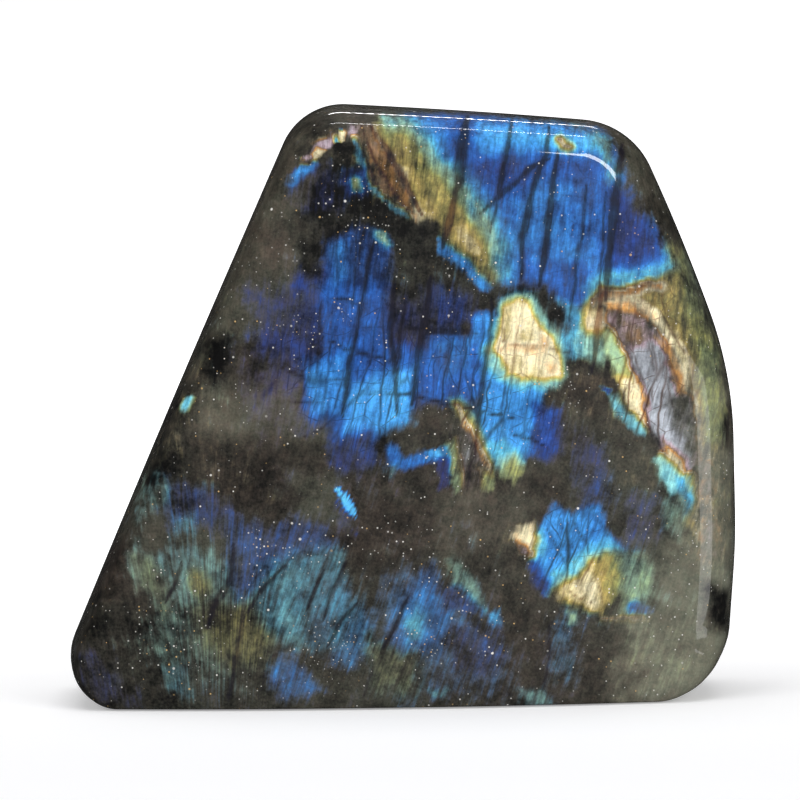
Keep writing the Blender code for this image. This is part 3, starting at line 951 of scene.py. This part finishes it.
def back_of_stone(x, y, z):
    """Flash, order and tone of the back and the sides: a few broad, weaker flashes in a dark, cloudy body."""
    flash = 0.75 * eased(cloud(x / 16 + 7, z / 20 + 3, 81), 0.46, 0.66) * eased(y, 8.0, 15.0)
    order = 0.10 + 0.55 * eased(cloud(x / 26 + 5, z / 26, 91), 0.35, 0.75)
    tone = 0.34 + 0.8 * (cloud((x + y) / 16 + 5, (z - y) / 16 + 5, 101) - 0.5)
    return flash, order, tone


def painted(points):
    """What every point of the stone shows, by the names that the shader reads, and its place in the lamellae.

    The front's zones are read where a point falls in the picture. They give way to the back's clouds over the
    edges, by an easing of the depth.
    """
    straight_x, straight_y = on_picture(points)
    x, y, z = points.T / MM
    across, along = lamellae(x, z)
    feather = cloud(across / FEATHER_ACROSS, along / FEATHER_ALONG, 31, layers=3) - 0.5
    px, py, wide, fine = wandered(straight_x, straight_y)

    flash, order = flashing(px, py, fine + FEATHER_SHARE * feather)
    tone, warmth = toned(px, py, wide + fine)
    crack_x = (1 - CRACK_WANDER) * straight_x + CRACK_WANDER * px
    crack_y = (1 - CRACK_WANDER) * straight_y + CRACK_WANDER * py
    least, added, size = CRACK_SWELL
    crack = cracked(crack_x, crack_y, least + added * cloud(px / size, py / size, 71))

    unseen = eased(y, SEEN_TO, BACK_FROM)
    for front, back in zip((flash, order, tone), back_of_stone(x, y, z)):
        front += (back - front) * unseen
    return {
        "flash": flash,
        "colour_order": order,
        "tone": tone,
        "warmth": warmth,
        "crack": crack * (1 - unseen),
        "speckled": speckled(px, py, fine),
        "veined": veined(px, py),
        "lamella": np.stack((across, along, y), axis=1),
    }


def make_stone(material):
    """The stone in place of its solid, with what it shows as attributes of its points."""
    points, quads, triangles = stone_surface()
    points = seated(points)
    mesh = bpy.data.meshes.new("labradorite")
    mesh.from_pydata(points.tolist(), [], quads.tolist() + triangles.tolist())
    mesh.shade_smooth()
    for name, values in painted(points).items():
        kind, key = ("FLOAT", "value") if values.ndim == 1 else ("FLOAT_VECTOR", "vector")
        mesh.attributes.new(name, kind, "POINT").data.foreach_set(key, values.astype(np.float32).ravel())
    mesh.materials.append(material)
    stone = bpy.data.objects.new("labradorite", mesh)
    bpy.context.scene.collection.objects.link(stone)
    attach(stone, "root")
    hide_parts("labradorite_block")


def from_srgb(red, green, blue):
    """A colour of 0 to 255 levels, as seen on a screen, in the linear numbers that shaders take."""
    levels = np.array((red, green, blue)) / 255
    linear = np.where(levels <= 0.04045, levels / 12.92, ((levels + 0.055) / 1.055) ** 2.4)
    return (*linear.tolist(), 1.0)


class Shader:
    """A material's node tree, and short ways to add a node whose inputs are values or others' outputs."""

    def __init__(self, name):
        """A new material whose surface is a Principled BSDF."""
        self.material = bpy.data.materials.new(name)
        self.material.use_nodes = True
        self.tree = self.material.node_tree
        self.surface = self.tree.nodes["Principled BSDF"]

    def add(self, kind, inputs=(), **settings):
        """A node of that kind, with its settings made and its inputs fed."""
        made = self.tree.nodes.new(kind)
        for key, value in settings.items():
            setattr(made, key, value)
        for socket, value in dict(inputs).items():
            self.feed(made.inputs[socket], value)
        return made

    def feed(self, socket, value):
        """Links an input to another node's output, or sets it to a plain value."""
        if isinstance(value, bpy.types.NodeSocket):
            self.tree.links.new(value, socket)
        else:
            socket.default_value = value

    def attribute(self, name, output="Fac"):
        """What the mesh holds under that name."""
        return self.add("ShaderNodeAttribute", attribute_name=name).outputs[output]

    def maths(self, operation, first, second=0.0, third=0.0, clamp=False):
        """One operation on up to three numbers, held between 0 and 1 where clamp is true."""
        inputs = {0: first, 1: second, 2: third}
        return self.add("ShaderNodeMath", inputs, operation=operation, use_clamp=clamp).outputs[0]

    def eased(self, value, low, high, bottom=0.0, top=1.0):
        """Bottom below low, top above high, and between them 3t^2 - 2t^3 of the way from bottom to top."""
        inputs = {"Value": value, "From Min": low, "From Max": high, "To Min": bottom, "To Max": top}
        return self.add("ShaderNodeMapRange", inputs, interpolation_type="SMOOTHSTEP").outputs[0]

    def stretched(self, vector, scale, location=(0.0, 0.0, 0.0)):
        """The vector times the scale, moved by the location."""
        inputs = {"Vector": vector, "Scale": scale, "Location": location}
        return self.add("ShaderNodeMapping", inputs).outputs[0]

    def noise(self, vector, detail, roughness, distortion=0.0):
        """Layers of smooth noise, of which the coarsest turns about once in each unit of the vector."""
        inputs = {"Vector": vector, "Scale": 1.0, "Detail": detail, "Roughness": roughness}
        return self.add("ShaderNodeTexNoise", {**inputs, "Distortion": distortion})

    def vectors(self, operation, inputs):
        """One operation on vectors."""
        return self.add("ShaderNodeVectorMath", inputs, operation=operation).outputs[0]

    def mixed(self, share, first, second):
        """The first colour times 1 less the share, plus the second times the share."""
        made = self.add("ShaderNodeMix", data_type="RGBA")
        for socket, value in zip((made.inputs[0], made.inputs[6], made.inputs[7]), (share, first, second)):
            self.feed(socket, value)
        return made.outputs[2]

    def ramp(self, value, stops):
        """The colour at a place between stops that run from 0 to 1, in straight lines from stop to stop."""
        made = self.add("ShaderNodeValToRGB", {"Fac": value})
        elements = made.color_ramp.elements
        for place, _ in stops[1:-1]:
            elements.new(place)
        for (_, colour), element in zip(stops, elements):
            element.color = colour
        return made.outputs["Color"]


# The stone's own colours by their place in the order.
FLASH_COLOURS = (
    (INDIGO, from_srgb(48, 54, 126)), (ROYAL, from_srgb(24, 72, 166)), (BLUE, from_srgb(30, 110, 204)),
    (AZURE, from_srgb(66, 166, 246)), (CYAN, from_srgb(98, 202, 238)), (AQUA, from_srgb(156, 222, 214)),
    (SEA, from_srgb(178, 214, 168)), (OLIVE, from_srgb(188, 192, 112)), (GOLD, from_srgb(222, 196, 108)),
    (CREAM, from_srgb(255, 244, 200)), (COPPER, from_srgb(226, 162, 84)), (MAUVE, from_srgb(158, 134, 118)),
    (ROSE, from_srgb(196, 172, 184)), (SILVER, from_srgb(182, 188, 198)),
)
DEEPEST = from_srgb(11, 11, 11)
GREY_GREEN = from_srgb(130, 136, 116)
GREY_BROWN = from_srgb(122, 108, 94)
CRACK_COLOUR = from_srgb(9, 13, 30)
CRACK_TINT = (0.22, 0.12, 0.06)
SPECK_COLOUR = from_srgb(235, 232, 225)
SPECK_GOLD = from_srgb(214, 176, 116)

# Noises of the stone: how often each repeats in a mm across, along and through the lamellae, or in a mm any
# way, then its detail, roughness and distortion.
LAMELLA_NOISES = {"streak": ((1.3, 0.15, 1.0), 4.0, 0.62, 0.25), "hair": ((5.0, 0.45, 3.0), 3.0, 0.6, 0.1)}
BODY_NOISES = {
    "broad": (0.07, 2.0, 0.5, 0.0),
    "mottle": (0.24, 5.0, 0.62, 0.0),
    "blotch": (0.65, 4.0, 0.6, 0.4),
    "grit": (2.4, 3.0, 0.6, 0.0),
}
VEIN_BEND = 3.0  # mm that slow noise moves the fine veins
GLOW_CURVE, TONE_CURVE = 1.35, 1.4  # powers that deepen the dim parts of the flash and of the body
CRACK_SHARE = 0.92  # how much of a crack's own colour covers the stone in its middle
CRACK_DEPTH = 0.6  # how deep a crack is in the bump, set against the streaks
BUMP = {"Strength": 0.25, "Distance": 0.0004}  # the distance in m

# Specks: the mm across of the cells that hold one each, the chance of one where they crowd, the smallest and
# the largest radius in mm, and the strength of the faintest.
SPECK_SIZES = ((1.3, 0.42, 0.09, 0.30, 0.25), (0.6, 1.0, 0.07, 0.19, 0.12))
GOLDEN_FROM = 0.78  # the lots from here to 1 make a speck golden

# The polish is the coat: the stone under it hardly mirrors anything.
POLISH = {
    "Roughness": 0.5,
    "IOR": 1.56,
    "Specular IOR Level": 0.25,
    "Coat Weight": 1.0,
    "Coat Roughness": 0.035,
    "Coat IOR": 1.5,
}


def stone_noises(s, lamella, place):
    """The noises by their names."""
    noises = {}
    for name, (scale, *character) in LAMELLA_NOISES.items():
        noises[name] = s.noise(s.stretched(lamella, scale), *character).outputs["Fac"]
    for name, (scale, *character) in BODY_NOISES.items():
        noises[name] = s.noise(s.stretched(place, (scale,) * 3), *character).outputs["Fac"]
    return noises


def varied(s, noises, start, **shares):
    """A value with noises added, each less its middle and times its share."""
    for name, share in shares.items():
        start = s.maths("ADD", start, s.maths("MULTIPLY", s.maths("SUBTRACT", noises[name], 0.5), share))
    return start


def flash_of(s, noises):
    """How brightly each place is lit from within, and in which colour."""
    reach = varied(s, noises, s.attribute("flash"), streak=0.7, hair=0.14, mottle=0.62, blotch=0.36)
    evenness = varied(s, noises, 1.05, streak=0.65, mottle=0.7, blotch=0.4, grit=0.6)
    lit = s.maths("MULTIPLY", s.eased(reach, 0.06, 1.10), evenness)
    order = varied(s, noises, s.attribute("colour_order"), broad=0.08, mottle=0.16, streak=0.06)
    return lit, s.ramp(order, FLASH_COLOURS)


def body_of(s, noises):
    """The stone's own colour: from nearly black to a grey that is greenish or brownish."""
    tone = varied(s, noises, s.attribute("tone"), mottle=0.75, blotch=0.5, grit=0.5, streak=0.3)
    warmth = varied(s, noises, s.attribute("warmth"), broad=0.8, blotch=1.2)
    rock = s.mixed(s.maths("MAXIMUM", warmth, 0.0, clamp=True), GREY_GREEN, GREY_BROWN)
    return s.mixed(s.maths("POWER", s.maths("MAXIMUM", tone, 0.0), TONE_CURVE, clamp=True), DEEPEST, rock)


def veins_of(s, noises, lamella, place, lit):
    """Fine veins, stronger where the stone is lit: the strongest of upright, thin and ladder-like clefts.

    A cleft is where the distance to the border between two cells is small. The cells are drawn out along the
    lamellae and bent by slow noise.
    """
    warp = s.noise(s.stretched(place, (0.12, 0.12, 0.12)), 3.0, 0.5).outputs["Color"]
    bent = s.vectors("ADD", {0: lamella, 1: s.vectors("MULTIPLY", {0: warp, 1: (VEIN_BEND,) * 3})})

    def cleft(scale, width, location=(0.0, 0.0, 0.0)):
        """1 on the borders of cells that repeat so often in a mm, easing to 0 at that width."""
        inputs = {"Vector": s.stretched(bent, scale, location), "Scale": 1.0, "Randomness": 1.0}
        cells = s.add("ShaderNodeTexVoronoi", inputs, voronoi_dimensions="2D", feature="DISTANCE_TO_EDGE")
        return s.eased(cells.outputs["Distance"], 0.0, width, 1.0, 0.0)

    upright = cleft((0.26, 0.04, 0.2), 0.085)
    upright = s.maths("MULTIPLY", upright, s.eased(noises["broad"], 0.4, 0.6, 0.55, 1.0))
    thin = cleft((0.85, 0.09, 0.2), 0.12, (3.0, 1.0, 0.0))
    thin = s.maths("MULTIPLY", thin, s.eased(noises["mottle"], 0.40, 0.62, 0.0, 0.75))
    ladder = cleft((0.11, 0.22, 0.2), 0.030, (1.0, 5.0, 0.0))
    ladder = s.maths("MULTIPLY", ladder, s.eased(noises["blotch"], 0.35, 0.6, 0.3, 0.8))
    network = s.maths("MAXIMUM", upright, s.maths("MAXIMUM", thin, ladder))
    network = s.maths("MULTIPLY", network, s.attribute("veined"))
    return s.maths("MULTIPLY", network, s.eased(lit, 0.05, 0.6, 0.25, 1.0))


def wide_cracks_of(s, noises):
    """The wide cracks, frayed by streaks and hairs."""
    crack = varied(s, noises, s.attribute("crack"), streak=0.3)
    return s.eased(s.maths("MULTIPLY", crack, s.eased(noises["hair"], 0.34, 0.60, 0.75, 1.1)), 0.05, 0.75)


def darkened(s, shown, cracks):
    """The colour in the cracks: a dark blue that takes on some of the colour beside it."""
    shade = s.vectors("MULTIPLY_ADD", {0: shown, 1: CRACK_TINT, 2: CRACK_COLOUR[:3]})
    return s.mixed(s.maths("MULTIPLY", cracks, CRACK_SHARE), shown, shade)


def with_specks(s, shown, place, cell, chance_of_one, smallest, largest, faintest):
    """Round specks, one at most in a cell of that many mm, each with lots of its own for chance and look."""
    cells = s.add("ShaderNodeTexVoronoi", {"Vector": s.stretched(place, (1 / cell,) * 3), "Scale": 1.0})
    lots = s.add("ShaderNodeSeparateColor", {"Color": cells.outputs["Color"]}).outputs
    chosen = s.maths("GREATER_THAN", s.maths("MULTIPLY", s.attribute("speckled"), chance_of_one), lots["Red"])
    size = s.maths("MULTIPLY_ADD", lots["Green"], (largest - smallest) / cell, smallest / cell)
    within = s.eased(s.maths("DIVIDE", cells.outputs["Distance"], size), 0.5, 1.0, 1.0, 0.0)
    strength = s.maths("MULTIPLY_ADD", lots["Blue"], 1 - faintest, faintest)
    golden = s.maths("GREATER_THAN", s.maths("FRACT", s.maths("MULTIPLY", lots["Blue"], 7.0)), GOLDEN_FROM)
    colour = s.mixed(golden, SPECK_COLOUR, SPECK_GOLD)
    return s.mixed(s.maths("MULTIPLY", s.maths("MULTIPLY", chosen, within), strength), shown, colour)


def stone_material():
    """Polished labradorite: a dark body, what flashes in it, cracks, specks, and a clear polish over all."""
    s = Shader("polished_labradorite")
    lamella = s.attribute("lamella", "Vector")
    place = s.stretched(s.add("ShaderNodeTexCoord").outputs["Object"], (1 / MM,) * 3)
    noises = stone_noises(s, lamella, place)

    lit, colour = flash_of(s, noises)
    body = s.mixed(s.eased(lit, 0.1, 0.9, 0.0, 0.8), body_of(s, noises), DEEPEST)
    glow = s.maths("POWER", s.maths("MAXIMUM", lit, 0.0), GLOW_CURVE)
    shown = s.vectors("ADD", {0: body, 1: s.vectors("SCALE", {0: colour, "Scale": glow})})

    cracks = s.maths("MAXIMUM", veins_of(s, noises, lamella, place, lit), wide_cracks_of(s, noises))
    shown = darkened(s, shown, cracks)
    for speck_size in SPECK_SIZES:
        shown = with_specks(s, shown, place, *speck_size)
    s.feed(s.surface.inputs["Base Color"], shown)

    for socket, value in POLISH.items():
        s.feed(s.surface.inputs[socket], value)
    height = s.maths("MULTIPLY_ADD", cracks, -CRACK_DEPTH, noises["streak"])
    bump = s.add("ShaderNodeBump", {"Height": height, **BUMP})
    s.feed(s.surface.inputs["Normal"], bump.outputs["Normal"])
    return s.material


FLOOR_GLOW_NEAR, FLOOR_GLOW_FAR = 0.22, 1.2
FLOOR_WHITENS = (-0.1, 0.4)  # m of depth between which the floor turns to even white


def floor_material():
    """Pale matt floor that turns to even white behind the stone."""
    s = Shader("pale_floor")
    place = s.add("ShaderNodeTexCoord").outputs["Object"]
    behind = s.add("ShaderNodeSeparateXYZ", {"Vector": place}).outputs["Y"]
    s.feed(s.surface.inputs["Base Color"], (0.82, 0.82, 0.835, 1.0))
    s.feed(s.surface.inputs["Roughness"], 0.9)
    s.feed(s.surface.inputs["Specular IOR Level"], 0.1)
    glow = s.eased(behind, *FLOOR_WHITENS, FLOOR_GLOW_NEAR / FLOOR_GLOW_FAR, 1.0)
    s.feed(s.surface.inputs["Emission Color"], glow)
    s.feed(s.surface.inputs["Emission Strength"], FLOOR_GLOW_FAR)
    return s.material


def show_stage(name, corners, faces, material):
    """A mesh of flat faces that belongs to the stage and not to the stone."""
    mesh = bpy.data.meshes.new(name)
    mesh.from_pydata(corners, [], faces)
    mesh.materials.append(material)
    made = bpy.data.objects.new(name, mesh)
    bpy.context.scene.collection.objects.link(made)
    return made


def make_floor():
    """A flat floor, wide and deep enough to fill the picture, that the polish doesn't mirror."""
    half, before, behind = 3.0, -0.4, 8.0
    corners = [(-half, before, 0.0), (half, before, 0.0), (half, behind, 0.0), (-half, behind, 0.0)]
    floor = show_stage("floor", corners, [(0, 1, 2, 3)], floor_material())
    floor.visible_glossy = False


def make_lamp(name, place, width, height, power, mirrored=False):
    """A rectangular lamp that faces the stone, its width level. The polish mirrors it only where asked."""
    lamp = bpy.data.lights.new(name, "AREA")
    lamp.shape = "RECTANGLE"
    lamp.size, lamp.size_y = width, height
    lamp.energy = power
    made = bpy.data.objects.new(name, lamp)
    made.location = place
    made.rotation_euler = (Vector(place) - Vector(AIM)).to_track_quat("Z", "Y").to_euler()
    made.visible_glossy = mirrored
    bpy.context.scene.collection.objects.link(made)


def lit_material(name, strength):
    """Plain white light of that strength."""
    s = Shader(name)
    s.feed(s.surface.inputs["Base Color"], (0.0, 0.0, 0.0, 1.0))
    s.feed(s.surface.inputs["Emission Color"], (1.0, 1.0, 1.0, 1.0))
    s.feed(s.surface.inputs["Emission Strength"], strength)
    return s.material


def make_lit_strip(name, start, end, width, plates, lit, material):
    """A row of bright plates from start to end that face the stone: what draws a line of light on the polish.

    Each plate takes the share lit of its own stretch of the row.
    """
    start, end = Vector(start), Vector(end)
    away = ((start + end) / 2 - Vector(AIM)).normalized()
    side = np.array(away.cross(end - start).normalized()) * width / 2
    share = (np.arange(plates)[:, None] + np.array((0.0, lit, lit, 0.0))) / plates
    corners = np.array(start) + share[..., None] * np.array(end - start)
    corners = corners + np.array((-1, -1, 1, 1))[:, None] * side
    faces = np.arange(4 * plates).reshape(-1, 4)
    strip = show_stage(name, corners.reshape(-1, 3).tolist(), faces.tolist(), material)
    strip.visible_camera = False
    strip.visible_diffuse = False
    strip.visible_shadow = False


def make_lights():
    """Three soft lamps, a low one that the polish mirrors at the right, and the rows of bright plates."""
    make_lamp("left_soft_light", (-0.75, -0.75, 0.55), 0.7, 0.7, 5.2)
    make_lamp("right_soft_light", (0.75, -0.75, 0.50), 0.7, 0.7, 5.2)
    make_lamp("overhead_soft_light", (0.0, 0.05, 1.0), 0.9, 0.6, 4.8)
    make_lamp("right_tall_light", (0.69, -0.64, 0.04), 0.50, 0.26, 1.0, mirrored=True)
    strip = lit_material("lit_strip", 40.0)
    make_lit_strip("upper_lit_strip", (-0.10, 0.49, 0.53), (0.20, 0.49, 0.53), 0.013, 65, 0.55, strip)
    make_lit_strip("lower_lit_strip", (-0.10, 0.04, 0.725), (0.19, 0.04, 0.725), 0.015, 65, 0.6, strip)
    panel = lit_material("lit_panel", 14.0)
    make_lit_strip("corner_lit_strip", (0.24, -0.71, 0.40), (0.37, -0.70, 0.28), 0.13, 1, 1.0, panel)


ROOM_LIGHT, ROOM_MIRRORED = 0.22, 0.02  # the room's strength as light, and where the polish mirrors it


def make_world():
    """White to the camera's eye, nearly dark where the polish mirrors it, and dim for all other light."""
    world = bpy.data.worlds.new("white_room")
    bpy.context.scene.world = world
    world.use_nodes = True
    tree = world.node_tree
    background = tree.nodes["Background"]
    background.inputs["Color"].default_value = (1.0, 1.0, 1.0, 1.0)
    path = tree.nodes.new("ShaderNodeLightPath")
    mirrored = tree.nodes.new("ShaderNodeMapRange")
    mirrored.inputs["To Min"].default_value = ROOM_LIGHT
    mirrored.inputs["To Max"].default_value = ROOM_MIRRORED
    tree.links.new(path.outputs["Is Glossy Ray"], mirrored.inputs["Value"])
    strength = tree.nodes.new("ShaderNodeMapRange")
    strength.inputs["To Max"].default_value = 1.0
    tree.links.new(path.outputs["Is Camera Ray"], strength.inputs["Value"])
    tree.links.new(mirrored.outputs[0], strength.inputs["To Min"])
    tree.links.new(strength.outputs[0], background.inputs["Strength"])


def make_camera():
    """A long lens straight in front, lifted a little, that takes the frame the zones are written in."""
    lens = bpy.data.cameras.new("camera")
    lens.sensor_width = 36.0
    lens.lens = lens.sensor_width * DISTANCE * PX_PER_M / FRAME_PX
    lens.shift_x = (FRAME_PX / 2 - AIM_PX[0]) / FRAME_PX
    lens.shift_y = (AIM_PX[1] - FRAME_PX / 2) / FRAME_PX
    camera = bpy.data.objects.new("camera", lens)
    lift = math.radians(ELEVATION)
    camera.location = (AIM[0], AIM[1] - DISTANCE * math.cos(lift), AIM[2] + DISTANCE * math.sin(lift))
    facing = Matrix.Rotation(math.pi / 2 - lift, 3, "X") @ Matrix.Rotation(-math.radians(ROLL), 3, "Z")
    camera.rotation_euler = facing.to_euler()
    bpy.context.scene.collection.objects.link(camera)
    bpy.context.scene.camera = camera


make_stone(stone_material())
make_floor()
make_lights()
make_world()
make_camera()
bpy.context.scene.view_settings.view_transform = "Standard"
